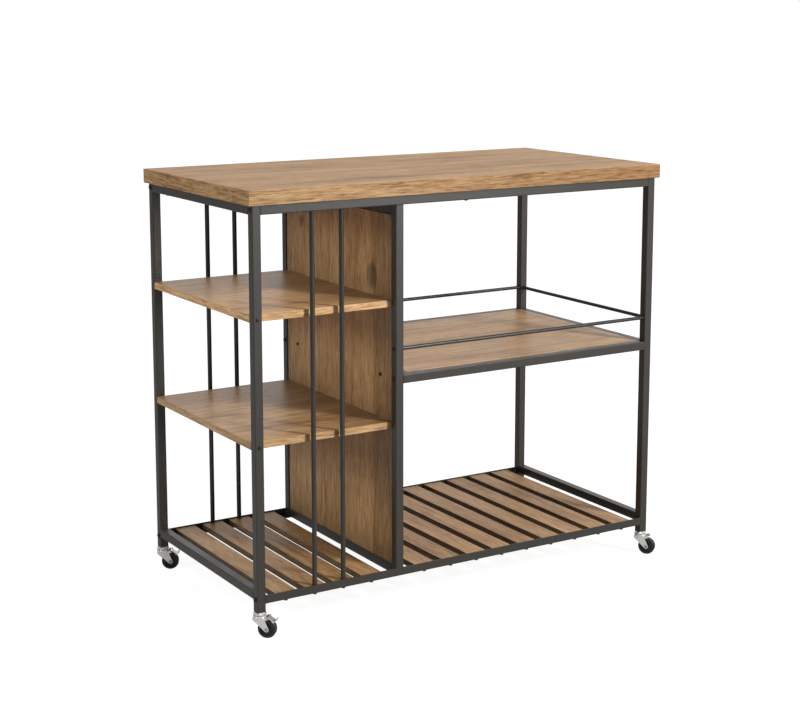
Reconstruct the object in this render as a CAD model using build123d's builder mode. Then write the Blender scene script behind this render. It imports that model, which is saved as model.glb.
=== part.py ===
"""Kitchen trolley on four casters: a square-tube steel frame with boards, slats, rods and guard rails.

Millimetres. +X runs along the length, to the viewer's right. +Y runs to the back. +Z is up.
The origin is on the floor, under the middle of the frame.
"""

import os

from build123d import *

os.makedirs("parts", exist_ok=True)

# Frame
FRAME_LENGTH = 1000.0
FRAME_DEPTH = 496.0
HEIGHT = 900.0
TUBE = 19.0
TUBE_WALL = 1.2
TUBE_CORNER = 2.0
BOTTOM_END_RAIL_Z = 76.7
MIDDLE_POST_X = -167.3

# Worktop
TOP_THICK = 30.0
TOP_OVERHANG_END = 9.0
TOP_OVERHANG_SIDE = 6.0

# Steel angle under the slats
ANGLE_Z = 70.3
ANGLE_LEG = 17.0
ANGLE_FLANGE = 25.0
ANGLE_WALL = 1.5
END_TAB = 2.5

# Slats
SLAT_WIDTH = 48.0
SLAT_THICK = 13.0
SLAT_PITCH = 66.7
SLAT_END_GAP = 0.5
LEFT_SLATS = 4
LEFT_SLATS_X = -333.0
RIGHT_SLATS = 9
RIGHT_SLATS_X = 164.0

# Boards
BOARD_THICK = 15.0
PANEL_THICK = 16.0
PANEL_TOP = 829.3
SHELF_TOPS = {"upper": 654.3, "lower": 399.0}
EDGE_BREAK = 0.6

# Right shelf
SHELF_FRAME_TOP = 499.6
BOARD_GAP = 1.0
TAB_WIDTH = 24.0
TAB_REACH = 17.0
TAB_THICK = 1.5

# Rods and guard rails
ROD_RADIUS = 5.0
ROD_Y = 241.0
ROD_SPIGOT_RADIUS = 3.0
ROD_SPIGOT = 6.0
GUARD_RADIUS = 4.0
GUARD_Z = 553.0
COLLAR_RADIUS = 6.0
COLLAR_THICK = 2.5
GUARD_SPIGOT = 4.0

# Fasteners
BOLT_RADIUS = 3.0
BOLT_LENGTH = 30.0
BOLT_HEAD_RADIUS = 5.0
BOLT_HEAD = 2.8
SOCKET_RADIUS = 2.3
SOCKET_DEPTH = 1.8
SCREW_RADIUS = 2.0
SCREW_HEAD_RADIUS = 3.8
SCREW_HEAD = 2.4
SLOT_WIDTH = 1.0
SLOT_DEPTH = 1.0
FIT = 0.05
CLEARANCE = 0.3
PLUG_LENGTH = 15.0
NUT_RADIUS = 5.77
NUT_THICK = 5.0
SLAT_SCREW = 12.0
SLAT_SCREW_HEAD = 4.2
SLAT_SCREW_HEAD_RADIUS = 4.4
ROD_SCREW = 26.5
TAB_SCREW = 12.0
PANEL_SCREW = 24.0
RAIL_SCREW = 31.0
SHELF_SCREW = 40.0

# Casters
CASTER_HEIGHT = 53.0
STEM_RADIUS = 4.0
STEM_LENGTH = 20.0
SOCKET_LENGTH = 22.0
RING_RADIUS = 13.5
RING_THICK = 6.0
CUP_TOP = 46.3
CUP_BOTTOM = 42.0
KINGPIN_RADIUS = 3.5
KINGPIN_HEAD_RADIUS = 5.5
KINGPIN_HEAD = 1.4
WHEEL_RADIUS = 19.0
WHEEL_WIDTH = 14.0
TRAIL = 15.5
HUB_RADIUS = 5.5
RIM_RADIUS = 13.5
RECESS_DEPTH = 3.0
TREAD_ROUND = 2.5
AXLE_RADIUS = 2.5
FORK_INSIDE = 16.6
FORK_SHEET = 1.8
FORK_FRONT = -13.0
FORK_BACK = 11.0
ARM_TIP_RADIUS = 5.0
PEDAL_PIN_RADIUS = 1.2
PEDAL_PIN_AT = (18.4, 41.8)
EAR_RADIUS = 2.8
PEDAL_EYE_RADIUS = 2.2
PEDAL_SHEET = 1.6
PEDAL_REACH = 14.5
PEDAL_FALL = 35.0
PEDAL_TIP = 7.5
PEDAL_TIP_TURN = 80.0
PAD_SIZE = (5.0, 5.0)
PAD_GAP = 0.4
RIVET_HEAD = 1.0

# The way each wheel trails, in degrees from +X
CASTER_TURNS = {"front_left": -43.0, "front_right": -53.0, "back_left": -25.0, "back_right": -35.0}

# Places worked out from the sizes above
HALF = TUBE / 2
BORE = TUBE - 2 * TUBE_WALL
POST_X = FRAME_LENGTH / 2 - HALF
POST_Y = FRAME_DEPTH / 2 - HALF
INNER_X = FRAME_LENGTH / 2 - TUBE
INNER_Y = FRAME_DEPTH / 2 - TUBE
FRAME_TOP = HEIGHT - TOP_THICK
RAIL_TOP_Z = FRAME_TOP - TUBE
FLANGE_TOP = ANGLE_Z + ANGLE_WALL
LEG_TOP = ANGLE_Z + ANGLE_LEG
LEG_INSIDE = FRAME_DEPTH / 2 - ANGLE_WALL
MIDDLE_LEFT = MIDDLE_POST_X - HALF
MIDDLE_RIGHT = MIDDLE_POST_X + HALF
PANEL_LEFT = MIDDLE_RIGHT - PANEL_THICK
MIDDLE_RAIL_TOP = FLANGE_TOP + TUBE
SHELF_BAR_Z = SHELF_FRAME_TOP - HALF
LEFT_BAR_X = MIDDLE_RIGHT + HALF
SLAT_TOP = FLANGE_TOP + SLAT_THICK
TOP_BOLT_Z = FRAME_TOP - HALF
BOTTOM_BOLT_Z = ANGLE_Z + ANGLE_LEG / 2
ARM_Y = (FORK_INSIDE + FORK_SHEET) / 2

CORNERS = {
    "front_left": (-1, -1),
    "front_right": (1, -1),
    "back_left": (-1, 1),
    "back_right": (1, 1),
}
SIDES = {"front": -1, "back": 1}
ENDS = {"left": -1, "right": 1}
LEFT_SLAT_XS = [LEFT_SLATS_X + (i - (LEFT_SLATS - 1) / 2) * SLAT_PITCH for i in range(LEFT_SLATS)]
RIGHT_SLAT_XS = [RIGHT_SLATS_X + (i - (RIGHT_SLATS - 1) / 2) * SLAT_PITCH for i in range(RIGHT_SLATS)]
ROD_XS = LEFT_SLAT_XS[1:3]
SHELF_SCREW_ZS = [top - BOARD_THICK / 2 for top in SHELF_TOPS.values()]
TOP_SCREWS_LONG = [(0.0, side * POST_Y) for side in SIDES.values()]
TOP_SCREW_Y = 165.0
TOP_SCREWS_END = [(end * POST_X, y) for end in ENDS.values() for y in (-TOP_SCREW_Y, TOP_SCREW_Y)]
PANEL_BAR_SCREW_Y = 182.0
PANEL_SHELF_SCREW_Y = 120.0
TAB_XS = (0.0, 340.0)

# Turns that lay a piece made along +Z onto an axis
TO_PLUS_X = (0, 90, 0)
TO_MINUS_X = (0, -90, 0)
TO_PLUS_Y = (-90, 0, 0)
TO_MINUS_Y = (90, 0, 0)
UPRIGHT = (0, 0, 0)


def save(piece, name):
    """Label a finished piece and write it."""
    piece.part.label = name
    export_step(piece.part, f"parts/{name}.step")


def tube(start, along, length):
    """A square tube in the piece being built, from a start point along an axis."""
    with BuildSketch(Plane(origin=start, z_dir=along)) as section:
        RectangleRounded(TUBE, TUBE, TUBE_CORNER)
        RectangleRounded(BORE, BORE, TUBE_CORNER - TUBE_WALL, mode=Mode.SUBTRACT)
    extrude(section.sketch, amount=length)


def drill(radius, depth, turn, places):
    """Round holes in the piece being built, centred on the places."""
    with Locations(*places):
        Cylinder(radius, depth, rotation=turn, mode=Mode.SUBTRACT)


def board(low, high):
    """A board in the piece being built, between two corners, with its sharp edges taken off."""
    with BuildSketch(Plane.XY.offset(low[2])) as outline:
        with Locations(((low[0] + high[0]) / 2, (low[1] + high[1]) / 2)):
            Rectangle(high[0] - low[0], high[1] - low[1])
    slab = extrude(outline.sketch, amount=high[2] - low[2])
    chamfer(slab.edges(), EDGE_BREAK)


def screw(length, head=SCREW_HEAD, head_radius=SCREW_HEAD_RADIUS):
    """A wood screw along +Z: its pan head is below the origin, and its shank is above."""
    with BuildPart() as piece:
        with BuildSketch():
            Circle(SCREW_RADIUS)
        extrude(amount=length)
        chamfer(piece.faces().sort_by(Axis.Z)[-1].edges(), SCREW_RADIUS / 2)
        with BuildSketch():
            Circle(head_radius)
        extrude(amount=-head)
        fillet(piece.faces().sort_by(Axis.Z)[0].edges(), head / 2)
        slot_z = -head + SLOT_DEPTH / 2
        with Locations((0, 0, slot_z)):
            Box(head_radius, SLOT_WIDTH, SLOT_DEPTH, mode=Mode.SUBTRACT)
            Box(SLOT_WIDTH, head_radius, SLOT_DEPTH, mode=Mode.SUBTRACT)
    return piece.part


def copies(shape, spots):
    """Separate copies of a shape in the piece being built, one at each place and turn."""
    with Locations(*[Location(place, turn) for place, turn in spots]):
        add(shape)


# Corner posts, with holes for the frame bolts, the shelf screws and the guard rails
for corner, (end, side) in CORNERS.items():
    x = end * POST_X
    y = side * POST_Y
    with BuildPart() as post:
        tube((x, y, CASTER_HEIGHT), (0, 0, 1), FRAME_TOP - CASTER_HEIGHT)
        bolt_zs = [TOP_BOLT_Z, BOTTOM_BOLT_Z]
        if end > 0:
            bolt_zs.append(SHELF_BAR_Z)
        drill(BOLT_RADIUS + CLEARANCE, TUBE + 2, TO_PLUS_X, [(x, y, z) for z in bolt_zs])
        if end < 0:
            drill(SCREW_RADIUS + CLEARANCE, TUBE + 2, TO_PLUS_Y, [(x, y, z) for z in SHELF_SCREW_ZS])
        else:
            hole = GUARD_RADIUS + FIT
            drill(hole, TUBE, TO_PLUS_X, [(x - HALF, y, GUARD_Z)])
            drill(hole, TUBE, TO_PLUS_Y, [(x, y - side * HALF, GUARD_Z)])
    save(post, f"post_{corner}")

# Long top rails, with holes for the worktop screw, the bolts' plugs and the rods' spigots
for name, side in SIDES.items():
    y = side * POST_Y
    with BuildPart() as rail:
        tube((-INNER_X, y, TOP_BOLT_Z), (1, 0, 0), 2 * INNER_X)
        drill(SCREW_RADIUS + CLEARANCE, TUBE + 2, UPRIGHT, [(0, y, TOP_BOLT_Z)])
        rod_holes = [(x, side * ROD_Y, RAIL_TOP_Z) for x in ROD_XS]
        drill(ROD_SPIGOT_RADIUS + FIT, TUBE, UPRIGHT, rod_holes)
    save(rail, f"rail_top_{name}")

# End rails, top and bottom
for name, end in ENDS.items():
    x = end * POST_X
    with BuildPart() as rail:
        tube((x, -INNER_Y, TOP_BOLT_Z), (0, 1, 0), 2 * INNER_Y)
        screw_holes = [(x, y, TOP_BOLT_Z) for y in (-TOP_SCREW_Y, TOP_SCREW_Y)]
        drill(SCREW_RADIUS + CLEARANCE, TUBE + 2, UPRIGHT, screw_holes)
    save(rail, f"rail_top_{name}")
    with BuildPart() as rail:
        tube((x, -INNER_Y, BOTTOM_END_RAIL_Z + HALF), (0, 1, 0), 2 * INNER_Y)
    save(rail, f"rail_bottom_{name}")

# Long bottom rails: an angle with its leg outside and its flange under the slats, and end tabs
for name, side in SIDES.items():
    outside = side * FRAME_DEPTH / 2
    inside = side * LEG_INSIDE
    with BuildPart() as rail:
        with BuildSketch(Plane(origin=(-INNER_X, 0, 0), x_dir=(0, 1, 0), z_dir=(1, 0, 0))):
            with BuildLine():
                Polyline(
                    (outside, ANGLE_Z),
                    (outside, LEG_TOP),
                    (inside, LEG_TOP),
                    (inside, FLANGE_TOP),
                    (outside - side * ANGLE_FLANGE, FLANGE_TOP),
                    (outside - side * ANGLE_FLANGE, ANGLE_Z),
                    close=True,
                )
            make_face()
        extrude(amount=2 * INNER_X)
        tab_depth = LEG_INSIDE - INNER_Y
        tab_height = LEG_TOP - FLANGE_TOP
        tab_x = INNER_X - END_TAB / 2
        tab_z = FLANGE_TOP + tab_height / 2
        tab_y = side * (INNER_Y + tab_depth / 2)
        with Locations((-tab_x, tab_y, tab_z), (tab_x, tab_y, tab_z)):
            Box(END_TAB, tab_depth, tab_height)
        bolt_holes = [(end * tab_x, side * POST_Y, BOTTOM_BOLT_Z) for end in ENDS.values()]
        drill(BOLT_RADIUS + CLEARANCE, 2 * END_TAB, TO_PLUS_X, bolt_holes)
        slat_holes = [(x, side * ROD_Y, ANGLE_Z) for x in LEFT_SLAT_XS + RIGHT_SLAT_XS]
        drill(SCREW_RADIUS + CLEARANCE, 4 * ANGLE_WALL, UPRIGHT, slat_holes)
    save(rail, f"rail_bottom_{name}")

# Middle posts, each with its foot notched over the angle's leg
for name, side in SIDES.items():
    y = side * POST_Y
    with BuildPart() as post:
        tube((MIDDLE_POST_X, y, FLANGE_TOP), (0, 0, 1), RAIL_TOP_Z - FLANGE_TOP)
        notch_height = LEG_TOP - FLANGE_TOP
        with Locations((MIDDLE_POST_X, side * (LEG_INSIDE + TUBE / 2), FLANGE_TOP + notch_height / 2)):
            Box(TUBE + 2, TUBE, notch_height, mode=Mode.SUBTRACT)
        drill(BOLT_RADIUS + CLEARANCE, TUBE + 2, TO_PLUS_X, [(MIDDLE_POST_X, y, SHELF_BAR_Z)])
        drill(SCREW_RADIUS + CLEARANCE, TUBE + 2, TO_PLUS_X, [(MIDDLE_POST_X, y, GUARD_Z)])
    save(post, f"post_middle_{name}")

# Middle rails, above and below the divider panel
with BuildPart() as rail_middle_top:
    tube((MIDDLE_POST_X, -INNER_Y, RAIL_TOP_Z - HALF), (0, 1, 0), 2 * INNER_Y)
save(rail_middle_top, "rail_middle_top")
with BuildPart() as rail_middle_bottom:
    tube((MIDDLE_POST_X, -INNER_Y, FLANGE_TOP + HALF), (0, 1, 0), 2 * INNER_Y)
save(rail_middle_bottom, "rail_middle_bottom")

# Right shelf: the frame's bars, the tabs under the board, and the board
for name, side in SIDES.items():
    with BuildPart() as bar:
        tube((MIDDLE_RIGHT, side * POST_Y, SHELF_BAR_Z), (1, 0, 0), INNER_X - MIDDLE_RIGHT)
    save(bar, f"shelf_bar_{name}")
with BuildPart() as shelf_bar_right:
    tube((POST_X, -INNER_Y, SHELF_BAR_Z), (0, 1, 0), 2 * INNER_Y)
save(shelf_bar_right, "shelf_bar_right")
with BuildPart() as shelf_bar_left:
    tube((LEFT_BAR_X, -INNER_Y, SHELF_BAR_Z), (0, 1, 0), 2 * INNER_Y)
    wall_holes = [(LEFT_BAR_X - HALF, y, SHELF_BAR_Z) for y in (-PANEL_BAR_SCREW_Y, PANEL_BAR_SCREW_Y)]
    drill(SCREW_RADIUS + FIT, HALF, TO_PLUS_X, wall_holes)
save(shelf_bar_left, "shelf_bar_left")

BOARD_LEFT = LEFT_BAR_X + HALF
BOARD_UNDER = SHELF_FRAME_TOP - BOARD_THICK
TAB_Z = BOARD_UNDER - TAB_THICK / 2
side_tabs = [(x, side * (INNER_Y - TAB_REACH / 2), TAB_Z) for x in TAB_XS for side in SIDES.values()]
end_tabs = [(BOARD_LEFT + TAB_REACH / 2, 0, TAB_Z), (INNER_X - TAB_REACH / 2, 0, TAB_Z)]
with BuildPart() as shelf_tabs:
    with Locations(*side_tabs):
        Box(TAB_WIDTH, TAB_REACH, TAB_THICK)
    with Locations(*end_tabs):
        Box(TAB_REACH, TAB_WIDTH, TAB_THICK)
    drill(SCREW_RADIUS + CLEARANCE, 2 * TAB_THICK, UPRIGHT, side_tabs + end_tabs)
save(shelf_tabs, "shelf_tabs")

with BuildPart() as shelf_board_right:
    low = (BOARD_LEFT + BOARD_GAP, -INNER_Y + BOARD_GAP, BOARD_UNDER)
    high = (INNER_X - BOARD_GAP, INNER_Y - BOARD_GAP, SHELF_FRAME_TOP)
    board(low, high)
    pilots = [(x, y, BOARD_UNDER) for x, y, z in side_tabs + end_tabs]
    drill(SCREW_RADIUS + FIT, 2 * TAB_SCREW, UPRIGHT, pilots)
save(shelf_board_right, "shelf_board_right")

# Left shelves: flush with the posts' outer faces, and against the panel
for name, top in SHELF_TOPS.items():
    middle = top - BOARD_THICK / 2
    with BuildPart() as shelf:
        board((-FRAME_LENGTH / 2, -INNER_Y, top - BOARD_THICK), (PANEL_LEFT, INNER_Y, top))
        into_edges = [(-POST_X, side * INNER_Y, middle) for side in SIDES.values()]
        drill(SCREW_RADIUS + FIT, 2 * (SHELF_SCREW - TUBE + 1), TO_PLUS_Y, into_edges)
        into_end = [(PANEL_LEFT, y, middle) for y in (-PANEL_SHELF_SCREW_Y, PANEL_SHELF_SCREW_Y)]
        drill(SCREW_RADIUS + FIT, 2 * (SHELF_SCREW - PANEL_THICK + 1), TO_PLUS_X, into_end)
    save(shelf, f"shelf_{name}_left")

# Divider panel, standing on the middle bottom rail
with BuildPart() as divider_panel:
    board((PANEL_LEFT, -INNER_Y, MIDDLE_RAIL_TOP), (MIDDLE_RIGHT, INNER_Y, PANEL_TOP))
    panel_x = (PANEL_LEFT + MIDDLE_RIGHT) / 2
    through = [(panel_x, y, SHELF_BAR_Z) for y in (-PANEL_BAR_SCREW_Y, PANEL_BAR_SCREW_Y)]
    for z in SHELF_SCREW_ZS:
        through += [(panel_x, y, z) for y in (-PANEL_SHELF_SCREW_Y, PANEL_SHELF_SCREW_Y)]
    drill(SCREW_RADIUS + FIT, PANEL_THICK + 2, TO_PLUS_X, through)
save(divider_panel, "divider_panel")

# Worktop
with BuildPart() as worktop:
    half_length = FRAME_LENGTH / 2 + TOP_OVERHANG_END
    half_depth = FRAME_DEPTH / 2 + TOP_OVERHANG_SIDE
    board((-half_length, -half_depth, FRAME_TOP), (half_length, half_depth, HEIGHT))
    pilots = [(x, y, FRAME_TOP) for x, y in TOP_SCREWS_LONG + TOP_SCREWS_END]
    drill(SCREW_RADIUS + FIT, 2 * (RAIL_SCREW - TUBE + 1), UPRIGHT, pilots)
save(worktop, "worktop")

# Slats, each lying on both flanges
for name, xs in {"left": LEFT_SLAT_XS, "right": RIGHT_SLAT_XS}.items():
    reach = LEG_INSIDE - SLAT_END_GAP
    with BuildPart() as slats:
        for x in xs:
            board((x - SLAT_WIDTH / 2, -reach, FLANGE_TOP), (x + SLAT_WIDTH / 2, reach, SLAT_TOP))
        for x in xs:
            depth = 2 * SLAT_THICK + 2 if x in ROD_XS else 2 * (SLAT_SCREW - ANGLE_WALL + 1)
            places = [(x, side * ROD_Y, FLANGE_TOP) for side in SIDES.values()]
            drill(SCREW_RADIUS + FIT, depth, UPRIGHT, places)
    save(slats, f"slats_{name}")

# Rods: a spigot goes up into the top rail, and a screw comes up through the slat
for name, side in SIDES.items():
    for number, x in enumerate(ROD_XS, start=1):
        foot = Plane(origin=(x, side * ROD_Y, SLAT_TOP))
        with BuildPart() as rod:
            with BuildSketch(foot):
                Circle(ROD_RADIUS)
            extrude(amount=RAIL_TOP_Z - SLAT_TOP)
            with BuildSketch(foot.offset(RAIL_TOP_Z - SLAT_TOP)):
                Circle(ROD_SPIGOT_RADIUS)
            extrude(amount=ROD_SPIGOT)
            drill(SCREW_RADIUS + FIT, 2 * (ROD_SCREW - SLAT_THICK), UPRIGHT, [(x, side * ROD_Y, SLAT_TOP)])
        save(rod, f"rod_{name}_{number}")

# Guard rails: collars and spigots where they meet the right posts
for name, side in SIDES.items():
    start = Plane(origin=(MIDDLE_RIGHT, side * POST_Y, GUARD_Z), z_dir=(1, 0, 0))
    with BuildPart() as guard:
        with BuildSketch(start):
            Circle(GUARD_RADIUS)
        extrude(amount=INNER_X - MIDDLE_RIGHT + GUARD_SPIGOT)
        with BuildSketch(start.offset(INNER_X - MIDDLE_RIGHT - COLLAR_THICK)):
            Circle(COLLAR_RADIUS)
        extrude(amount=COLLAR_THICK)
        tapped = 2 * (RAIL_SCREW - TUBE + 1)
        drill(SCREW_RADIUS + FIT, tapped, TO_PLUS_X, [(MIDDLE_RIGHT, side * POST_Y, GUARD_Z)])
    save(guard, f"guard_rail_{name}")
with BuildPart() as guard_rail_right:
    start = Plane(origin=(POST_X, -INNER_Y - GUARD_SPIGOT, GUARD_Z), z_dir=(0, 1, 0))
    with BuildSketch(start):
        Circle(GUARD_RADIUS)
    extrude(amount=2 * (INNER_Y + GUARD_SPIGOT))
    far_collar = GUARD_SPIGOT + 2 * INNER_Y - COLLAR_THICK
    for at in (GUARD_SPIGOT, far_collar):
        with BuildSketch(start.offset(at)):
            Circle(COLLAR_RADIUS)
        extrude(amount=COLLAR_THICK)
save(guard_rail_right, "guard_rail_right")

# Bolts through the posts: a round head with a hexagon socket
with BuildPart() as bolt:
    with BuildSketch():
        Circle(BOLT_RADIUS)
    extrude(amount=BOLT_LENGTH)
    with BuildSketch():
        Circle(BOLT_HEAD_RADIUS)
    extrude(amount=-BOLT_HEAD)
    fillet(bolt.faces().sort_by(Axis.Z)[0].edges(), BOLT_HEAD / 2)
    with BuildSketch(Plane.XY.offset(-BOLT_HEAD)):
        RegularPolygon(SOCKET_RADIUS, 6)
    extrude(amount=SOCKET_DEPTH, mode=Mode.SUBTRACT)
bolt_spots = []
for end, side in CORNERS.values():
    turn = TO_MINUS_X if end > 0 else TO_PLUS_X
    for z in (TOP_BOLT_Z, BOTTOM_BOLT_Z):
        bolt_spots.append(((end * FRAME_LENGTH / 2, side * POST_Y, z), turn))
for side in SIDES.values():
    bolt_spots.append(((MIDDLE_LEFT, side * POST_Y, SHELF_BAR_Z), TO_PLUS_X))
    bolt_spots.append(((FRAME_LENGTH / 2, side * POST_Y, SHELF_BAR_Z), TO_MINUS_X))
with BuildPart() as frame_bolts:
    copies(bolt.part, bolt_spots)
save(frame_bolts, "frame_bolts")

# Plugs in the tube ends, nuts behind the angle's end tabs, and sockets for the caster stems
with BuildPart() as plug:
    with BuildSketch():
        RectangleRounded(BORE, BORE, TUBE_CORNER - TUBE_WALL)
        Circle(BOLT_RADIUS + FIT, mode=Mode.SUBTRACT)
    extrude(amount=PLUG_LENGTH)
with BuildPart() as nut:
    with BuildSketch():
        RegularPolygon(NUT_RADIUS, 6)
        Circle(BOLT_RADIUS + FIT, mode=Mode.SUBTRACT)
    extrude(amount=NUT_THICK)
with BuildPart() as stem_socket:
    with BuildSketch():
        RectangleRounded(BORE, BORE, TUBE_CORNER - TUBE_WALL)
        Circle(STEM_RADIUS + FIT, mode=Mode.SUBTRACT)
    extrude(amount=SOCKET_LENGTH)
plug_spots = []
nut_spots = []
for side in SIDES.values():
    plug_spots.append(((-INNER_X, side * POST_Y, TOP_BOLT_Z), TO_PLUS_X))
    plug_spots.append(((INNER_X, side * POST_Y, TOP_BOLT_Z), TO_MINUS_X))
    plug_spots.append(((MIDDLE_RIGHT, side * POST_Y, SHELF_BAR_Z), TO_PLUS_X))
    plug_spots.append(((INNER_X, side * POST_Y, SHELF_BAR_Z), TO_MINUS_X))
    nut_spots.append(((-INNER_X + END_TAB, side * POST_Y, BOTTOM_BOLT_Z), TO_PLUS_X))
    nut_spots.append(((INNER_X - END_TAB, side * POST_Y, BOTTOM_BOLT_Z), TO_MINUS_X))
socket_spots = [((end * POST_X, side * POST_Y, CASTER_HEIGHT), UPRIGHT) for end, side in CORNERS.values()]
with BuildPart() as rail_plugs:
    copies(plug.part, plug_spots)
    copies(nut.part, nut_spots)
    copies(stem_socket.part, socket_spots)
save(rail_plugs, "rail_plugs")

# Screws, in groups by what they hold
with BuildPart() as worktop_screws:
    spots = [((x, y, RAIL_TOP_Z), UPRIGHT) for x, y in TOP_SCREWS_LONG + TOP_SCREWS_END]
    copies(screw(RAIL_SCREW), spots)
save(worktop_screws, "worktop_screws")

with BuildPart() as slat_screws:
    plain_xs = [x for x in LEFT_SLAT_XS + RIGHT_SLAT_XS if x not in ROD_XS]
    under_slats = [((x, side * ROD_Y, ANGLE_Z), UPRIGHT) for x in plain_xs for side in SIDES.values()]
    under_rods = [((x, side * ROD_Y, ANGLE_Z), UPRIGHT) for x in ROD_XS for side in SIDES.values()]
    deep_head = {"head": SLAT_SCREW_HEAD, "head_radius": SLAT_SCREW_HEAD_RADIUS}
    copies(screw(SLAT_SCREW, **deep_head), under_slats)
    copies(screw(ROD_SCREW, **deep_head), under_rods)
save(slat_screws, "slat_screws")

with BuildPart() as shelf_screws:
    long_spots = []
    for z in SHELF_SCREW_ZS:
        long_spots.append(((-POST_X, -FRAME_DEPTH / 2, z), TO_PLUS_Y))
        long_spots.append(((-POST_X, FRAME_DEPTH / 2, z), TO_MINUS_Y))
        for y in (-PANEL_SHELF_SCREW_Y, PANEL_SHELF_SCREW_Y):
            long_spots.append(((MIDDLE_RIGHT, y, z), TO_MINUS_X))
    copies(screw(SHELF_SCREW), long_spots)
    bar_spots = [((PANEL_LEFT, y, SHELF_BAR_Z), TO_PLUS_X) for y in (-PANEL_BAR_SCREW_Y, PANEL_BAR_SCREW_Y)]
    copies(screw(PANEL_SCREW), bar_spots)
    guard_spots = [((MIDDLE_LEFT, side * POST_Y, GUARD_Z), TO_PLUS_X) for side in SIDES.values()]
    copies(screw(RAIL_SCREW), guard_spots)
    tab_spots = [((x, y, TAB_Z - TAB_THICK / 2), UPRIGHT) for x, y, z in side_tabs + end_tabs]
    copies(screw(TAB_SCREW), tab_spots)
save(shelf_screws, "shelf_screws")

# Caster pieces, made once about the stem's axis, with the wheel trailing along +X
with BuildPart() as mount:
    with BuildSketch(Plane.XZ):
        with BuildLine():
            Polyline(
                (0, CUP_BOTTOM - 2 * CLEARANCE - FORK_SHEET - KINGPIN_HEAD),
                (KINGPIN_HEAD_RADIUS, CUP_BOTTOM - 2 * CLEARANCE - FORK_SHEET - KINGPIN_HEAD),
                (KINGPIN_HEAD_RADIUS, CUP_BOTTOM - CLEARANCE - FORK_SHEET),
                (KINGPIN_RADIUS, CUP_BOTTOM - CLEARANCE - FORK_SHEET),
                (KINGPIN_RADIUS, CASTER_HEIGHT - RING_THICK),
                (RING_RADIUS - 1.5, CASTER_HEIGHT - RING_THICK),
                (RING_RADIUS, CASTER_HEIGHT - RING_THICK + 1.5),
                (RING_RADIUS, CASTER_HEIGHT - 2.5),
                (RING_RADIUS - 2.5, CASTER_HEIGHT),
                (STEM_RADIUS, CASTER_HEIGHT),
                (STEM_RADIUS, CASTER_HEIGHT + STEM_LENGTH),
                (0, CASTER_HEIGHT + STEM_LENGTH),
                close=True,
            )
        make_face()
    revolve(axis=Axis.Z)

with BuildPart() as fork:
    with BuildSketch(Plane.XY.offset(CUP_BOTTOM)):
        Circle(RING_RADIUS)
    extrude(amount=CUP_TOP - CUP_BOTTOM)
    fillet(fork.faces().sort_by(Axis.Z)[-1].edges(), 1.2)
    with BuildSketch(Plane.XY.offset(CUP_BOTTOM - FORK_SHEET)):
        with Locations(((FORK_FRONT + FORK_BACK) / 2, 0)):
            Rectangle(FORK_BACK - FORK_FRONT, FORK_INSIDE + 2 * FORK_SHEET)
    extrude(amount=FORK_SHEET)
    for arm_y in (-ARM_Y, ARM_Y):
        with BuildSketch(Plane(origin=(0, arm_y + FORK_SHEET / 2, 0), x_dir=(1, 0, 0), z_dir=(0, -1, 0))):
            with BuildLine():
                tip = CenterArc((TRAIL, WHEEL_RADIUS), ARM_TIP_RADIUS, 215, 150)
                Polyline(
                    tip @ 1,
                    (FORK_BACK + 1.5, CUP_BOTTOM - FORK_SHEET - 3),
                    (PEDAL_PIN_AT[0] + EAR_RADIUS, PEDAL_PIN_AT[1] - 1.5),
                    (PEDAL_PIN_AT[0] + EAR_RADIUS, PEDAL_PIN_AT[1] + EAR_RADIUS),
                    (PEDAL_PIN_AT[0] - EAR_RADIUS, PEDAL_PIN_AT[1] + EAR_RADIUS),
                    (FORK_BACK - 1, CUP_BOTTOM),
                    (FORK_FRONT, CUP_BOTTOM),
                    (FORK_FRONT, CUP_BOTTOM - 4),
                    tip @ 0,
                )
            make_face()
        extrude(amount=FORK_SHEET)
    drill(KINGPIN_RADIUS + FIT, 4 * RING_THICK, UPRIGHT, [(0, 0, CUP_BOTTOM)])
    drill(AXLE_RADIUS + FIT, 3 * FORK_INSIDE, TO_PLUS_Y, [(TRAIL, 0, WHEEL_RADIUS)])

# The two left casters lock: their forks have one more hole, for the pin of the brake pedal
with BuildPart() as locking_fork:
    add(fork.part)
    drill(PEDAL_PIN_RADIUS + FIT, 3 * FORK_INSIDE, TO_PLUS_Y, [(PEDAL_PIN_AT[0], 0, PEDAL_PIN_AT[1])])

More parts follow.
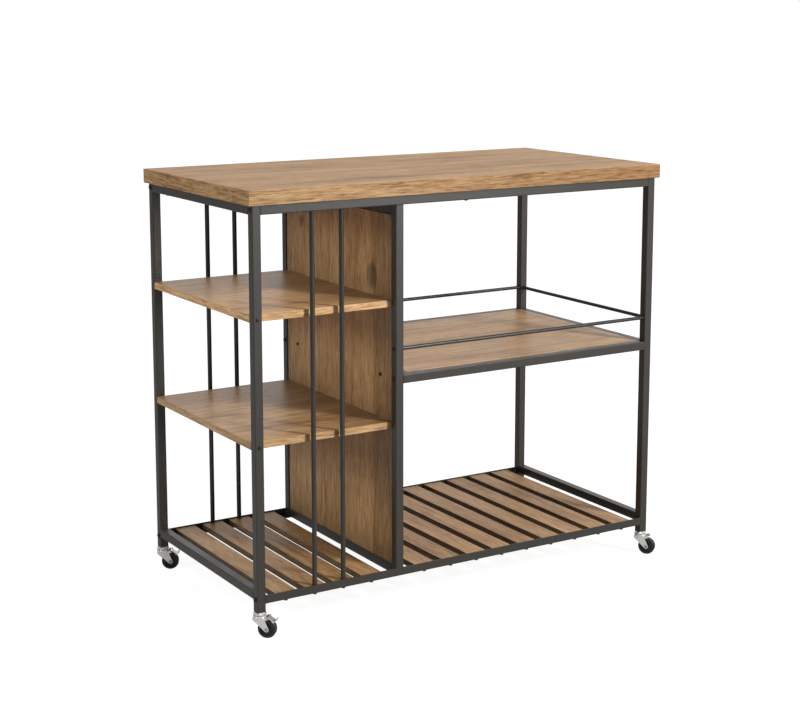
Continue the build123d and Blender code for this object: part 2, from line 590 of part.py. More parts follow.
with BuildPart() as wheel:
    half = WHEEL_WIDTH / 2
    hub_half = FORK_INSIDE / 2 - CLEARANCE
    with BuildSketch(Plane(origin=(TRAIL, 0, WHEEL_RADIUS), x_dir=(1, 0, 0), z_dir=(0, 0, 1))):
        with BuildLine():
            Polyline(
                (0, -hub_half),
                (HUB_RADIUS, -hub_half),
                (HUB_RADIUS, -half + RECESS_DEPTH),
                (RIM_RADIUS, -half + RECESS_DEPTH),
                (RIM_RADIUS, -half),
                (WHEEL_RADIUS - TREAD_ROUND, -half),
            )
            Line((WHEEL_RADIUS, -half + TREAD_ROUND), (WHEEL_RADIUS, half - TREAD_ROUND))
            RadiusArc((WHEEL_RADIUS - TREAD_ROUND, -half), (WHEEL_RADIUS, -half + TREAD_ROUND), -TREAD_ROUND)
            RadiusArc((WHEEL_RADIUS, half - TREAD_ROUND), (WHEEL_RADIUS - TREAD_ROUND, half), -TREAD_ROUND)
            Polyline(
                (WHEEL_RADIUS - TREAD_ROUND, half),
                (RIM_RADIUS, half),
                (RIM_RADIUS, half - RECESS_DEPTH),
                (HUB_RADIUS, half - RECESS_DEPTH),
                (HUB_RADIUS, hub_half),
                (0, hub_half),
                (0, -hub_half),
            )
        make_face()
    revolve(axis=Axis((TRAIL, 0, WHEEL_RADIUS), (0, 1, 0)))
    drill(AXLE_RADIUS + FIT, 2 * FORK_INSIDE, TO_PLUS_Y, [(TRAIL, 0, WHEEL_RADIUS)])

outside = FORK_INSIDE / 2 + FORK_SHEET
pin_rows = {
    "axle": (TRAIL, WHEEL_RADIUS, AXLE_RADIUS),
    "pedal_pin": (PEDAL_PIN_AT[0], PEDAL_PIN_AT[1], PEDAL_PIN_RADIUS),
}
rivets = {}
for name, (pin_x, pin_z, radius) in pin_rows.items():
    with BuildPart() as rivet:
        with BuildSketch(Plane(origin=(pin_x, outside, pin_z), x_dir=(1, 0, 0), z_dir=(0, -1, 0))):
            Circle(radius)
        extrude(amount=2 * outside)
        for y in (-outside - RIVET_HEAD / 2, outside + RIVET_HEAD / 2):
            with Locations((pin_x, y, pin_z)):
                Cylinder(radius + 1, RIVET_HEAD, rotation=TO_PLUS_Y)
    rivets[name] = rivet

# The pedal as it stands in the photograph: pressed down, with its pad at the tread and its tip turned up
with BuildPart() as pedal:
    pedal_half = FORK_INSIDE / 2 - CLEARANCE
    pivot = Plane(origin=(PEDAL_PIN_AT[0], pedal_half, PEDAL_PIN_AT[1]), x_dir=(1, 0, 0), z_dir=(0, -1, 0))
    with BuildSketch(pivot):
        Circle(PEDAL_EYE_RADIUS)
        with Locations(Location((0, 0, 0), (0, 0, -PEDAL_FALL))):
            blade_y = PEDAL_EYE_RADIUS - PEDAL_SHEET / 2
            with Locations((PEDAL_REACH / 2, blade_y)):
                Rectangle(PEDAL_REACH, PEDAL_SHEET)
            with Locations((PEDAL_REACH, blade_y)):
                Circle(PEDAL_SHEET / 2)
            with Locations(Location((PEDAL_REACH, blade_y, 0), (0, 0, PEDAL_TIP_TURN))):
                with Locations((PEDAL_TIP / 2, 0)):
                    Rectangle(PEDAL_TIP, PEDAL_SHEET)
            with Locations((PEDAL_REACH - PAD_SIZE[0] / 2, blade_y - PAD_SIZE[1] / 2)):
                Rectangle(*PAD_SIZE)
        with Locations((TRAIL - PEDAL_PIN_AT[0], WHEEL_RADIUS - PEDAL_PIN_AT[1])):
            Circle(WHEEL_RADIUS + PAD_GAP, mode=Mode.SUBTRACT)
        Circle(PEDAL_PIN_RADIUS + FIT, mode=Mode.SUBTRACT)
    extrude(amount=2 * pedal_half)

with BuildPart() as pins:
    add(rivets["axle"].part)
    add(rivets["pedal_pin"].part)

for corner, (end, side) in CORNERS.items():
    under_post = Location((end * POST_X, side * POST_Y, 0), (0, 0, CASTER_TURNS[corner]))
    if end < 0:
        pieces = {"mount": mount, "fork": locking_fork, "wheel": wheel, "pins": pins, "pedal": pedal}
    else:
        pieces = {"mount": mount, "fork": fork, "wheel": wheel, "pins": rivets["axle"]}
    for name, made in pieces.items():
        with BuildPart() as caster_piece:
            with Locations(under_post):
                add(made.part)
        save(caster_piece, f"caster_{corner}_{name}")
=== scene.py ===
# %% [markdown]
# A kitchen trolley, dressed for its portrait. The steel, the boards and the casters come from the workshop
# model at their real size. This lesson gives each of them its finish, then lights and photographs them.
# Everything is in metres: X along the length, Y to the back, Z up, with the floor at zero.

# %% Load the workshop model
import math

import bpy
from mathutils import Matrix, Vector

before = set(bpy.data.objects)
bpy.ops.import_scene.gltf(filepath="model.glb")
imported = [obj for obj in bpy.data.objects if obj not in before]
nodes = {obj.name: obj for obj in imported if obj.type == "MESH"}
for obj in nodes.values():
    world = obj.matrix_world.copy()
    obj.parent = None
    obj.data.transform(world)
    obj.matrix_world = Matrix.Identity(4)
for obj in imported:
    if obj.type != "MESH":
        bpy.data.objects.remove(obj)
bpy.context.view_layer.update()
print("pieces in the model:", len(nodes))

# %% [markdown]
# The portrait is taken from the left, a little above the worktop. A long lens and a small lens shift keep
# the uprights nearly parallel, as a photographer of furniture would have them.

# %% Place the camera
IMAGE_WIDTH = 800
SENSOR = 36.0
FOCAL_PIXELS = 1650.9
CAMERA_AT = (-1.9060, -3.0636, 1.2496)
TURN_RIGHT = math.radians(31.7)
LOOK_DOWN = math.radians(9.3)
SHIFT = -0.1
# An unturned camera looks straight down, and this tips it up to the horizon
TO_HORIZON = math.radians(90)

lens = bpy.data.cameras.new("portrait_lens")
lens.sensor_width = SENSOR
lens.lens = FOCAL_PIXELS / IMAGE_WIDTH * SENSOR
lens.shift_y = SHIFT
camera = bpy.data.objects.new("portrait_camera", lens)
bpy.context.scene.collection.objects.link(camera)
camera.location = CAMERA_AT
camera.rotation_euler = (TO_HORIZON - LOOK_DOWN, 0, -TURN_RIGHT)
bpy.context.scene.camera = camera
print("lens:", round(lens.lens, 1), "mm")

# %% [markdown]
# A shader is easier to read as a sum than as a plate of wires. This small class holds one socket, and the
# usual signs add the Math nodes.

# %% A class for sums in a shader
class Wire:
    """One output socket, which can be added to, multiplied and so on."""

    def __init__(self, finish, socket):
        self.finish = finish
        self.socket = socket

    def maths(self, operation, first, second=0.0):
        return self.finish.node("ShaderNodeMath", {"operation": operation}, {0: first, 1: second})

    def __add__(self, other):
        return self.maths("ADD", self, other)

    def __radd__(self, other):
        return self.maths("ADD", other, self)

    def __sub__(self, other):
        return self.maths("SUBTRACT", self, other)

    def __rsub__(self, other):
        return self.maths("SUBTRACT", other, self)

    def __mul__(self, other):
        return self.maths("MULTIPLY", self, other)

    def __rmul__(self, other):
        return self.maths("MULTIPLY", other, self)

    def __truediv__(self, other):
        return self.maths("DIVIDE", self, other)

    def __gt__(self, other):
        return self.maths("GREATER_THAN", self, other)

    def __abs__(self):
        return self.maths("ABSOLUTE", self)

    def __floor__(self):
        return self.maths("FLOOR", self)


# %% [markdown]
# Colours and vectors have nodes of their own, because a Math node turns a colour grey. One method adds any
# of them, and the rest of this class gives the ones that the trolley needs a short name.

# %% A class for one finish
OPAQUE = 1.0
# Noise lies about 0.5, and most of it between these two levels
MOST_NOISE = (0.3, 0.7)


class Finish:
    """A node tree with the one shader that it feeds."""

    def __init__(self, tree, shader):
        self.tree = tree
        self.shader = tree.nodes[shader]

    def feed(self, socket, value):
        if isinstance(value, Wire):
            self.tree.links.new(value.socket, socket)
        else:
            socket.default_value = value

    def node(self, kind, settings, values, out=0):
        made = self.tree.nodes.new(kind)
        for key, value in settings.items():
            setattr(made, key, value)
        for key, value in values.items():
            self.feed(made.inputs[key], value)
        return Wire(self, made.outputs[out])

    def set(self, **sockets):
        """Feed the shader's own sockets, whose names are written with underscores."""
        for name, value in sockets.items():
            self.feed(self.shader.inputs[name.replace("_", " ")], value)

    def place(self):
        """The place of a point on its piece, in metres."""
        return self.node("ShaderNodeTexCoord", {}, {}, "Object")

    def split(self, vector):
        return [self.node("ShaderNodeSeparateXYZ", {}, {0: vector}, axis) for axis in "XYZ"]

    def vector(self, x, y, z):
        return self.node("ShaderNodeCombineXYZ", {}, {0: x, 1: y, 2: z})

    def grey(self, level):
        return self.node("ShaderNodeCombineColor", {}, {0: level, 1: level, 2: level})

    def noise(self, where, scale=1.0, detail=2.0, roughness=0.5):
        values = {"Vector": where, "Scale": scale, "Detail": detail, "Roughness": roughness}
        return self.node("ShaderNodeTexNoise", {}, values, "Fac")

    def stretch(self, value, low, high, to_low=0.0, to_high=1.0):
        """Turn the range from low to high into the range from to_low to to_high, and stop at its ends."""
        values = {"Value": value, "From Min": low, "From Max": high, "To Min": to_low, "To Max": to_high}
        return self.node("ShaderNodeMapRange", {"clamp": True}, values)

    def choose(self, factor, first, second):
        """The first number where the factor is 0, and the second where it is 1."""
        return first + (second - first) * factor

    def blend(self, factor, first, second, way="MIX"):
        settings = {"data_type": "RGBA", "blend_type": way}
        return self.node("ShaderNodeMix", settings, {0: factor, 6: first, 7: second}, 2)

    def bump(self, height, distance, strength):
        values = {"Height": height, "Distance": distance, "Strength": strength}
        return self.node("ShaderNodeBump", {}, values)

    def rays(self):
        """1 where the camera looks straight at this, and 1 where it is seen as a reflection."""
        return [self.node("ShaderNodeLightPath", {}, {}, ray) for ray in ("Is Camera Ray", "Is Glossy Ray")]


def new_finish(name):
    material = bpy.data.materials.new(name)
    material.use_nodes = True
    return material, Finish(material.node_tree, "Principled BSDF")


def gained(colour, gain=1.0):
    """A colour, made brighter by a gain, as a node wants it."""
    return (*[part * gain for part in colour], OPAQUE)


# %% [markdown]
# The boards are particle board in a printed oak foil, wrapped round the edges with its grain along each
# edge. Grain is noise that is stretched one way, so the shader has to know how far a point lies along the
# grain, beside it and deep in the board. A UV map could say that, but each face would have to be unwrapped.
# The place of the point and the way its face looks say it already.

# %% Lay the foil on a board
# A face looks along an axis where its normal has more than this of it
FACING = 0.7
# How far the print also moves sideways and down for each metre of its shift
SIDE_SHIFT = 0.37
DEPTH_SHIFT = 0.61


class Sheet:
    """The foil of one board, with its grain along axis 0, 1 or 2, moved by shift metres."""

    def __init__(self, name, along, shift, tone):
        self.material, self.foil = new_finish(name)
        foil = self.foil
        self.place = foil.split(foil.place())
        self.normal = foil.split(foil.node("ShaderNodeNewGeometry", {}, {}, "Normal"))
        self.along = along
        self.beside, self.through = [axis for axis in (0, 1, 2) if axis != along]
        broad_faces = 2 if along != 2 else 0
        self.on_edge = 1.0 - self.faces(broad_faces)
        # On the two ends of the board the foil turns, and its grain follows the edge.
        on_end = self.faces(along)
        self.length = foil.choose(on_end, self.place[along], self.place[self.beside]) + shift
        self.side = foil.choose(on_end, self.place[self.beside], self.place[along]) + shift * SIDE_SHIFT
        self.depth = self.place[self.through] + shift * DEPTH_SHIFT
        self.light = tone

    def faces(self, axis):
        """1 where a face looks along this axis, either way."""
        return abs(self.normal[axis]) > FACING

    def noise(self, rate, width, detail, roughness=0.5):
        """Noise with rate lumps to a metre along the grain, and width lumps to a metre across it."""
        where = self.foil.vector(self.length * rate, self.side * width, self.depth * width)
        return self.foil.noise(where, detail=detail, roughness=roughness)

    def shade(self, level):
        self.light = self.light * level


# %% [markdown]
# The slats were sawn from different boards, so the print jumps from one to the next and its tone changes.
# The number of a slat is worked out from its place in the rack, and chooses both.

# %% Change the print from slat to slat
# How far the print moves along and down from one slat to the next, in metres
SLAT_JUMP = 0.73
SLAT_DROP = 0.31
SLAT_TONES = (0.88, 1.08)


def number_slats(sheet, start, pitch):
    number = math.floor((sheet.place[sheet.beside] - start) / pitch)
    sheet.length = sheet.length + number * SLAT_JUMP
    sheet.depth = sheet.depth + number * SLAT_DROP
    settings = {"noise_dimensions": "1D"}
    scatter = sheet.foil.node("ShaderNodeTexWhiteNoise", settings, {"W": number}, "Value")
    sheet.shade(sheet.foil.stretch(scatter, 0.0, 1.0, *SLAT_TONES))


# %% [markdown]
# No grain is straight. It drifts by some millimetres over half a metre, with a small wave in it, and it
# runs round each knot, so the foil is pulled towards the middle of every knot before the grain is drawn.

# %% Bend the grain
DRIFT = {"rate": 2.0, "width": 4.0, "detail": 2.0}
DRIFT_REACH = 0.018
WAVE = {"rate": 16.0, "width": 10.0, "detail": 1.0}
WAVE_REACH = 0.0014
DEPTH_SHARE = 0.7
# How much longer a knot is than wide, the squared distance at which its pull ends, and how strong it is
KNOT_LENGTH = 1.25
KNOT_REACH = 5.0
KNOT_PULL = 0.62


def sway(sheet):
    """Let the grain drift and wave, and return how far it does."""
    bend = (sheet.noise(**DRIFT) - 0.5) * DRIFT_REACH + (sheet.noise(**WAVE) - 0.5) * WAVE_REACH
    sheet.side = sheet.side + bend
    sheet.depth = sheet.depth + bend * DEPTH_SHARE
    return bend


def bend_round(sheet, knots):
    """Bend the grain round knots, and return each one's distance, squared, in its own half widths."""
    distances = []
    for along_at, side_at, size in knots:
        away_long = (sheet.place[sheet.along] - along_at) / (KNOT_LENGTH * size)
        away_side = (sheet.place[sheet.through] - side_at) / size
        away = away_long * away_long + away_side * away_side
        pull = sheet.foil.stretch(away, KNOT_REACH, 0.0)
        sheet.depth = sheet.depth - away_side * pull * (size * KNOT_PULL)
        distances.append(away)
    return distances


# %% [markdown]
# The print itself is seven layers of that noise, from broad bands to pores as fine as a hair. The soft ones
# set the broad light and dark, the crisp ones the fibres. Between them they choose from three oak colours.

# %% Print the grain
# Each layer: lumps to a metre along the grain and across it, then the noise's detail and roughness
LAYERS = {
    "bands": (1.0, 15.0, 2.0),
    "patches": (7.0, 17.0, 3.0, 0.6),
    "streaks": (3.0, 62.0, 3.0),
    "lines": (12.0, 190.0, 3.0),
    "fibres": (34.0, 420.0, 3.0, 0.6),
    "pores": (30.0, 600.0, 1.0),
    "clouds": (0.9, 5.0, 1.0),
}
# How much each layer counts, and how much the soft and the crisp ones count on edges
SOFT = {"bands": 0.6, "streaks": 0.7, "patches": 0.3}
CRISP = {"lines": 0.85, "fibres": 1.1}
EDGE_SOFT = 0.4
EDGE_CRISP = 1.35
GRAIN_SPAN = 0.42
PORE_RANGE = (0.58, 0.68)
PORE_DEPTH = 0.5
OAK_DARK = (0.172, 0.085, 0.033, 1.0)
OAK_TAN = (0.448, 0.258, 0.112, 1.0)
OAK_PALE = (0.594, 0.391, 0.219, 1.0)
PORE_BROWN = (0.105, 0.055, 0.024, 1.0)


def weigh(layers, weights):
    """The layers about zero, each times its weight, added up."""
    return sum((layers[name] - 0.5) * weight for name, weight in weights.items())


def print_grain(sheet, calm):
    """Return the layers of the print and its colour. The edges have less of the soft pattern."""
    foil = sheet.foil
    layers = {name: sheet.noise(*values) for name, values in LAYERS.items()}
    layers["pores"] = foil.stretch(layers["pores"], *PORE_RANGE)
    soft = weigh(layers, SOFT) * foil.choose(sheet.on_edge, calm, calm * EDGE_SOFT)
    crisp = weigh(layers, CRISP) * foil.choose(sheet.on_edge, 1.0, EDGE_CRISP)
    grain = soft + crisp
    colour = foil.blend(foil.stretch(grain, 0.0, -GRAIN_SPAN), OAK_TAN, OAK_DARK)
    colour = foil.blend(foil.stretch(grain, 0.0, GRAIN_SPAN), colour, OAK_PALE)
    colour = foil.blend(layers["pores"] * PORE_DEPTH, colour, PORE_BROWN)
    return layers, colour


# %% [markdown]
# A knot is a dark spot with a ragged rim. Its distance is roughened by two layers of the grain, so the rim
# is torn along the same lines as the print round it.

# %% Stain the knots
KNOT_BROWN = (0.085, 0.052, 0.030, 1.0)
RAGGED = {"patches": 3.0, "lines": 2.6}
KNOT_RIM = (1.5, 0.1)
KNOT_DARKNESS = 0.72


def stain_knots(sheet, distances, layers, colour):
    for away in distances:
        spot = sheet.foil.stretch(away + weigh(layers, RAGGED), *KNOT_RIM, 0.0, KNOT_DARKNESS)
        colour = sheet.foil.blend(spot, colour, KNOT_BROWN)
    return colour


# %% [markdown]
# A board isn't one tone all over. Soft clouds run through the print, and the divider steps to a darker tone
# on its front strip. Some boards also get painted shade: darker one way along them, into a corner, or on
# their sawn sides. All of that multiplies the colour, so the print shows through.

# %% Shade the board
CLOUD_TONES = (0.93, 1.06)
STEP_SWAY = 0.2
CORNER_SHADE_RISE = 0.1
CORNER_SHADE = 0.55


def cast_clouds(sheet, layers):
    sheet.shade(sheet.foil.stretch(layers["clouds"], *MOST_NOISE, *CLOUD_TONES))


def darken_front_strip(sheet, bend, tone_step, tone):
    """Darken the strip on the near side of a line, which sways a little with the grain."""
    beyond = sheet.place[sheet.through] + bend * STEP_SWAY > tone_step
    sheet.shade(sheet.foil.choose(beyond, tone, 1.0))


def fade_shade_along(sheet, axis, start, end, tone):
    """Paint shade on the broad faces, darker from start to end."""
    faded = sheet.foil.stretch(sheet.place[axis], start, end, 1.0, tone)
    sheet.shade(sheet.foil.choose(sheet.on_edge, faded, 1.0))


def paint_corner_shade(sheet, heights):
    """Paint shade on an upright board just above the things that meet it."""
    for height in heights:
        near = sheet.foil.stretch(sheet.place[2], height, height + CORNER_SHADE_RISE, CORNER_SHADE, 1.0)
        sheet.shade(sheet.foil.choose(sheet.place[2] > height, 1.0, near))


# Painted shade on the sawn sides, which lie deep in the narrow gaps between the slats
def paint_side_shade(sheet, tone):
    sheet.shade(sheet.foil.choose(sheet.faces(sheet.beside), 1.0, tone))


# %% [markdown]
# Now the steps go together. The foil is a little rough where its fibres are, and the pores are pressed into
# it. How much it shines is given for each board, since some are more worn.

# %% The oak foil
FOIL_SHINE = 0.38
DULLEST = 0.52
SHINE_SHARE = 0.4
FIBRE_SHARE = 0.2
PORE_SINK = 0.6
GRAIN_DEPTH = 0.0002
GRAIN_STRENGTH = 0.5
# Along the board, the painted shade of its edges, warmer and darker, starts and is full at these places
SHADE_FROM = -0.3
SHADE_TO = 0.4


def oak(
    name, along, shift, tone=1.0, shine=FOIL_SHINE, calm=1.0, knots=(), slats=None,
    tone_step=None, shade_fade=None, corners=(), side_shade=None, shaded_end=None,
):
    """Oak foil with its grain along axis 0, 1 or 2, moved by shift metres so that no two boards match."""
    sheet = Sheet(name, along, shift, tone)
    foil = sheet.foil
    if slats:
        number_slats(sheet, *slats)
    bend = sway(sheet)
    distances = bend_round(sheet, knots)
    layers, colour = print_grain(sheet, calm)
    colour = stain_knots(sheet, distances, layers, colour)
    cast_clouds(sheet, layers)
    if tone_step:
        darken_front_strip(sheet, bend, *tone_step)
    if shade_fade:
        fade_shade_along(sheet, *shade_fade)
    # Painted shade on an upright board just above each height in corners
    paint_corner_shade(sheet, corners)
    if side_shade:
        paint_side_shade(sheet, side_shade)
    colour = foil.blend(1.0, colour, foil.grey(sheet.light), "MULTIPLY")
    # Painted shade: the edges turn warmer and darker towards the far end of the board
    if shaded_end:
        reach = foil.stretch(sheet.place[along], SHADE_FROM, SHADE_TO)
        colour = foil.blend(sheet.on_edge * reach, colour, shaded_end, "MULTIPLY")
    relief = layers["fibres"] - layers["pores"] * PORE_SINK
    roughness = DULLEST - shine * SHINE_SHARE + (layers["fibres"] - 0.5) * FIBRE_SHARE
    foil.set(Base_Color=colour, Roughness=roughness, Specular_IOR_Level=shine)
    foil.set(Normal=foil.bump(relief, GRAIN_DEPTH, GRAIN_STRENGTH))
    print(name, "nodes:", len(foil.tree.nodes))
    return sheet.material


# %% [markdown]
# Powder coat is paint with a faint orange peel. It looks the same from near and far, so it needs only a
# fine bump and a slightly uneven gloss. Its corners are painted paler, a painted highlight along the
# rounded edges of the tubes.
# Screws and rivets get the same finish in other colours.

# %% The powder coat
PEEL_SCALE = 900.0
PEEL_DEPTH = 0.0001
PEEL_STRENGTH = 0.35
CLOUD_SCALE = 14.0
CLOUD_GAIN = 1.25
CLOUD_GLOSS = 0.12
EDGE_HIGHLIGHT_RANGE = (0.52, 0.60)
EDGE_HIGHLIGHT_GAIN = 2.6
EDGE_HIGHLIGHT_SHARE = 0.5


def powder_coat(name, colour, roughness):
    material, coat = new_finish(name)
    peel = coat.noise(coat.place(), scale=PEEL_SCALE, detail=2.0)
    cloud = coat.noise(coat.place(), scale=CLOUD_SCALE, detail=3.0)
    # Painted highlight: the sharpest corners are made paler
    corner = coat.node("ShaderNodeNewGeometry", {}, {}, "Pointiness")
    edge_highlight = coat.stretch(corner, *EDGE_HIGHLIGHT_RANGE)
    tint = coat.blend(coat.stretch(cloud, *MOST_NOISE), gained(colour), gained(colour, CLOUD_GAIN))
    tint = coat.blend(edge_highlight * EDGE_HIGHLIGHT_SHARE, tint, gained(colour, EDGE_HIGHLIGHT_GAIN))
    coat.set(Base_Color=tint, Roughness=roughness + (cloud - 0.5) * CLOUD_GLOSS)
    coat.set(Normal=coat.bump(peel, PEEL_DEPTH, PEEL_STRENGTH))
    print("coat:", name)
    return material


# %% [markdown]
# Bright zinc plate is a mirror that has been through a drum of other parts. Its gloss is broken by fine
# scuffs, and a thin mist of chromate takes some of its metal shine away.

# %% Bright zinc
MIST_SCALE = 60.0
MISTED_ZINC = (0.76, 0.745, 0.72, 1.0)
CLEAR_ZINC = (0.92, 0.91, 0.89, 1.0)
ZINC_METALLIC = 0.72
ZINC_GLOSS = (0.12, 0.30)
SCUFF_SCALE = 420.0
SCUFF_DEPTH = 0.00004
SCUFF_STRENGTH = 0.4


def bright_zinc(name):
    material, zinc = new_finish(name)
    scuffs = zinc.noise(zinc.place(), scale=SCUFF_SCALE, detail=4.0, roughness=0.7)
    mist = zinc.noise(zinc.place(), scale=MIST_SCALE, detail=2.0)
    gloss = zinc.stretch(scuffs, *MOST_NOISE, *ZINC_GLOSS)
    zinc.set(Base_Color=zinc.blend(mist, MISTED_ZINC, CLEAR_ZINC), Metallic=ZINC_METALLIC, Roughness=gloss)
    zinc.set(Normal=zinc.bump(scuffs, SCUFF_DEPTH, SCUFF_STRENGTH))
    print("plate:", name)
    return material


# %% [markdown]
# The wheels and the plugs are moulded black plastic. The mould was spark eroded, which leaves a fine even
# grain, and the floor has rubbed the skin paler in places.

# %% Moulded plastic
SPARK_SCALE = 1500.0
SPARK_DEPTH = 0.00006
SPARK_STRENGTH = 0.4
RUB_SCALE = 70.0
RUB_RANGE = (0.45, 0.75)
RUB_GAIN = 1.6
RUB_GLOSS = 0.2


def moulded(name, colour, roughness):
    material, plastic = new_finish(name)
    spark = plastic.noise(plastic.place(), scale=SPARK_SCALE, detail=1.0)
    rub = plastic.noise(plastic.place(), scale=RUB_SCALE, detail=3.0)
    tint = plastic.blend(plastic.stretch(rub, *RUB_RANGE), gained(colour), gained(colour, RUB_GAIN))
    plastic.set(Base_Color=tint, Roughness=roughness + (rub - 0.5) * RUB_GLOSS)
    plastic.set(Normal=plastic.bump(spark, SPARK_DEPTH, SPARK_STRENGTH))
    print("plastic:", name)
    return material


# %% [markdown]
# Each board gets its own foil: the same oak, moved along so that no two boards repeat. The divider stands
# upright and so does its grain. Its knots are where the picture has them, and it has painted shade in the
# corners, just above the slats and the shelves. The slats' sawn sides get painted shade too.

# %% Cut a foil for each board
SLAT_WIDTH = 0.048
SLAT_SHINE = 0.25
LEFT_SLATS = 4
RIGHT_SLATS = 9
# The worktop's front band gets painted shade, warmer and darker towards its right end
BAND_SHADE = (0.76, 0.68, 0.61, 1.0)
# The left shelves get painted shade, darker towards the divider: the axis, where it starts and ends, and
# the tone
SHELF_SHADE_FADE = (0, -0.38, -0.20, 0.52)
# The knots of the divider: height, depth into the trolley, and half their width
PANEL_KNOTS = ((0.775, 0.160, 0.012), (0.693, -0.145, 0.019), (0.33, 0.02, 0.008))
# Its tone step, with the tone of the strip in front, and its painted shade, darker from the upper shelf
# down
PANEL_STEP = (-0.152, 0.74)
PANEL_SHADE_FADE = (2, 0.65, 0.25, 0.76)


def span(name, axis):
    """Where a piece starts and ends along an axis."""
    places = [corner[axis] for corner in nodes[name].bound_box]
    return min(places), max(places)


def rack(name, count):
    """Where the strips of a rack of slats start, halfway into a gap, and the pitch of its slats."""
    start, end = span(name, 0)
    pitch = (end - start - SLAT_WIDTH) / (count - 1)
    print(name, "pitch:", round(pitch, 4))
    return (start + end - count * pitch) / 2, pitch


# The divider meets the tops of the slats and of the two shelves, and gets painted shade just above them
panel_shade_heights = [span(name, 2)[1] for name in ("slats_left", "shelf_lower_left", "shelf_upper_left")]
left_rack = rack("slats_left", LEFT_SLATS)
right_rack = rack("slats_right", RIGHT_SLATS)
foils = {
    "worktop": oak("oak_worktop", 0, 0.0, 0.91, shine=0.16, shaded_end=BAND_SHADE),
    "shelf_upper_left": oak("oak_upper_shelf", 0, 2.3, 1.36, shade_fade=SHELF_SHADE_FADE),
    "shelf_lower_left": oak("oak_lower_shelf", 0, 4.1, 1.06, shade_fade=SHELF_SHADE_FADE),
    "shelf_board_right": oak("oak_right_shelf", 0, 6.7, 1.34),
    "divider_panel": oak(
        "oak_divider", 2, 8.9, 1.54, shine=0.25, calm=0.6, knots=PANEL_KNOTS,
        tone_step=PANEL_STEP, shade_fade=PANEL_SHADE_FADE, corners=panel_shade_heights,
    ),
    "slats_left": oak("oak_left_slats", 1, 1.2, 0.86, shine=SLAT_SHINE, slats=left_rack, side_shade=0.42),
    "slats_right": oak("oak_right_slats", 1, 5.2, 1.03, shine=SLAT_SHINE, slats=right_rack, side_shade=0.36),
}

# %% [markdown]
# All the steel of the frame has the dark coat. Bolts and screws are blacked, and the casters' pins are left
# pale. Those are thin skins on steel too, so they are the same coat in other colours.

# %% Give the model its finishes
coat = powder_coat("dark_powder_coat", (0.0158, 0.0134, 0.0106), 0.35)
blacked = powder_coat("blacked_steel", (0.009, 0.009, 0.009), 0.34)
rivets = powder_coat("rivet_steel", (0.16, 0.155, 0.15), 0.4)
zinc = bright_zinc("bright_zinc")
wheels = moulded("black_wheel_plastic", (0.011, 0.010, 0.010), 0.42)
plugs = moulded("black_plug_plastic", (0.016, 0.016, 0.016), 0.5)


def finish_of(name):
    """The finish that belongs on the piece with this name."""
    if name in foils:
        return foils[name]
    if name.endswith("wheel"):
        return wheels
    if name.endswith("pins"):
        return rivets
    if name.startswith("caster"):
        return zinc
    if name == "rail_plugs":
        return plugs
    if name.endswith(("bolts", "screws")):
        return blacked
    return coat


for name, node in nodes.items():
    node.data.materials.clear()
    node.data.materials.append(finish_of(name))
print("materials:", len(bpy.data.materials))

# %% [markdown]
# The floor is a plain pale sheet. It is stage, not trolley. Where the camera looks at it, it is nearly
# white, and it still takes the soft shadow of the wheels. The lamps reach less of it far away, so it is
# lifted there to stay white up to the horizon.

# %% Lay the floor
FLOOR_REACH = 30.0
WHITE = (1.0, 1.0, 1.0, 1.0)
# The paper's grey, and how much darker it is where the camera looks and its own light does the rest
PAPER_GREY = 0.38
PAPER_DARKER = 0.16
PAPER_MIRRORED = 0.20
PAPER_ROUGHNESS = 0.9
# From this many metres away to this many, the lift goes from its first value to its second
LIFT_FROM = 1.5
LIFT_TO = 5.0
LIFT = (0.92, 0.99)

floor_mesh = bpy.data.meshes.new("floor")
corners = [(-FLOOR_REACH, -FLOOR_REACH, 0), (FLOOR_REACH, -FLOOR_REACH, 0)]
corners += [(FLOOR_REACH, FLOOR_REACH, 0), (-FLOOR_REACH, FLOOR_REACH, 0)]
floor_mesh.from_pydata(corners, [], [(0, 1, 2, 3)])
floor = bpy.data.objects.new("floor", floor_mesh)
bpy.context.scene.collection.objects.link(floor)

paper_material, paper = new_finish("floor_paper")
looked_at, mirrored = paper.rays()
far = paper.node("ShaderNodeVectorMath", {"operation": "LENGTH"}, {0: paper.place()}, "Value")
lift = paper.stretch(far, LIFT_FROM, LIFT_TO, *LIFT)
paper.set(Base_Color=paper.grey(PAPER_GREY - looked_at * PAPER_DARKER), Roughness=PAPER_ROUGHNESS)
paper.set(Specular_IOR_Level=0.0, Emission_Color=WHITE)
paper.set(Emission_Strength=looked_at * lift + mirrored * PAPER_MIRRORED)
floor_mesh.materials.append(paper_material)
print("floor:", 2 * FLOOR_REACH, "metres wide")

# %% [markdown]
# The room is white where the camera sees it. What shines in the boards and tubes is another room: a white
# wall at the back, and darkness at the camera's side, to the left and near the floor, so that the steel has
# dark faces. Its plain light on everything else is weak, a little stronger from the right.

# %% Build the room
# For each wall: where it starts and ends along its axis, and the light at both ends
BACK_WALL = (-0.5, 0.5, 0.3, 1.0)
RIGHT_WALL = (-0.6, 0.3, 0.35, 1.0)
UPPER_WALL = (0.03, 0.22, 0.22, 1.0)
FILL = (-1.0, 1.0, 0.14, 0.22)

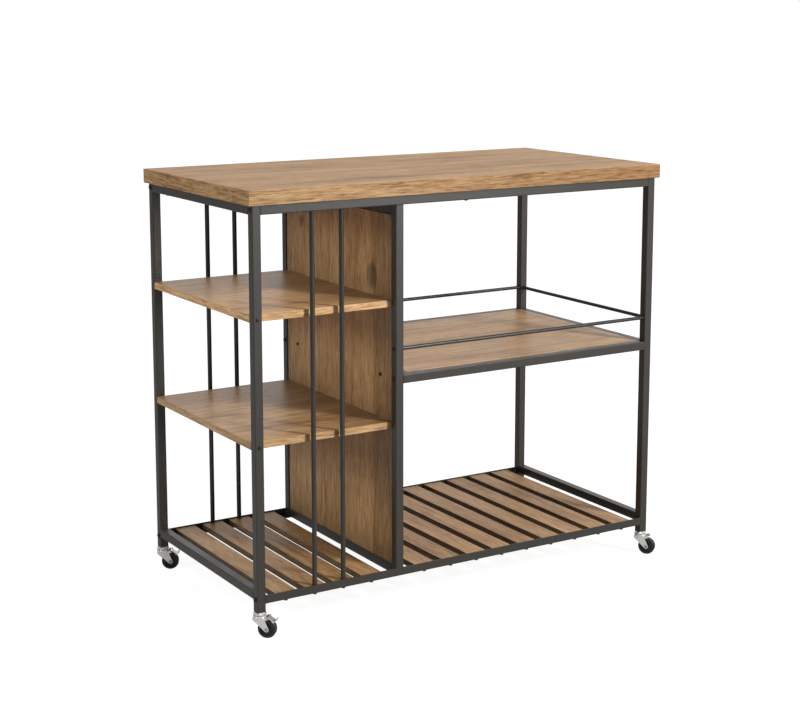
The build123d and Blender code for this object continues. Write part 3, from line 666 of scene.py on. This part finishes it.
world = bpy.data.worlds.new("daylight")
bpy.context.scene.world = world
world.use_nodes = True
room = Finish(world.node_tree, "Background")
right, back, up = room.split(room.node("ShaderNodeTexCoord", {}, {}, "Generated"))
looked_at, mirrored = room.rays()
wall = room.stretch(back, *BACK_WALL) * room.stretch(right, *RIGHT_WALL) * room.stretch(up, *UPPER_WALL)
strength = room.choose(mirrored, room.stretch(right, *FILL), wall)
room.set(Color=WHITE, Strength=room.choose(looked_at, strength, 1.0))
print("room nodes:", len(world.node_tree.nodes))

# %% [markdown]
# The photographer's main lamp stood to the right of the camera and high, and its shadows show how large
# it was: the rods throw sharp shadows on the shelf edges close behind them, and soft ones further back.
# A weaker one under it lights the tubes, a broad one at the left lights the faces that the main lamp
# misses, about half as strongly, and one overhead lifts the worktop.

# %% Hang the lamps
MIDDLE = Vector((0.0, 0.0, 0.45))
# Degrees right of the front and degrees up, metres away, width and height in metres, and level
LAMPS = {
    "key_softbox": (26.0, 32.0, 7.0, (1.0, 1.6), 0.80),
    "low_softbox": (27.5, 9.0, 6.0, (0.7, 1.2), 0.28),
    "left_softbox": (-88.0, 22.0, 5.0, (1.8, 1.8), 0.38),
    "top_softbox": (0.0, 80.0, 4.0, (2.2, 2.2), 0.26),
}


def lamp(name, azimuth, height, distance, size, level):
    """A softbox aimed at the middle of the trolley."""
    light = bpy.data.lights.new(name, "AREA")
    light.shape = "RECTANGLE"
    light.size, light.size_y = size
    # At this power a matt white surface facing the lamp is rendered at the wanted level.
    light.energy = level * (math.pi * distance) ** 2
    holder = bpy.data.objects.new(name, light)
    bpy.context.scene.collection.objects.link(holder)
    around = math.radians(azimuth)
    rise = math.radians(height)
    reach = distance * math.cos(rise)
    offset = Vector((reach * math.sin(around), -reach * math.cos(around), distance * math.sin(rise)))
    holder.location = MIDDLE + offset
    holder.rotation_mode = "QUATERNION"
    holder.rotation_quaternion = (-offset).to_track_quat("-Z", "Y")
    print(name, round(light.energy), "W")


for name, values in LAMPS.items():
    lamp(name, *values)

# %% [markdown]
# The plain Standard view shows a colour about as it was written, and the lesson is over.

# %% Finish
bpy.context.scene.view_settings.view_transform = "Standard"
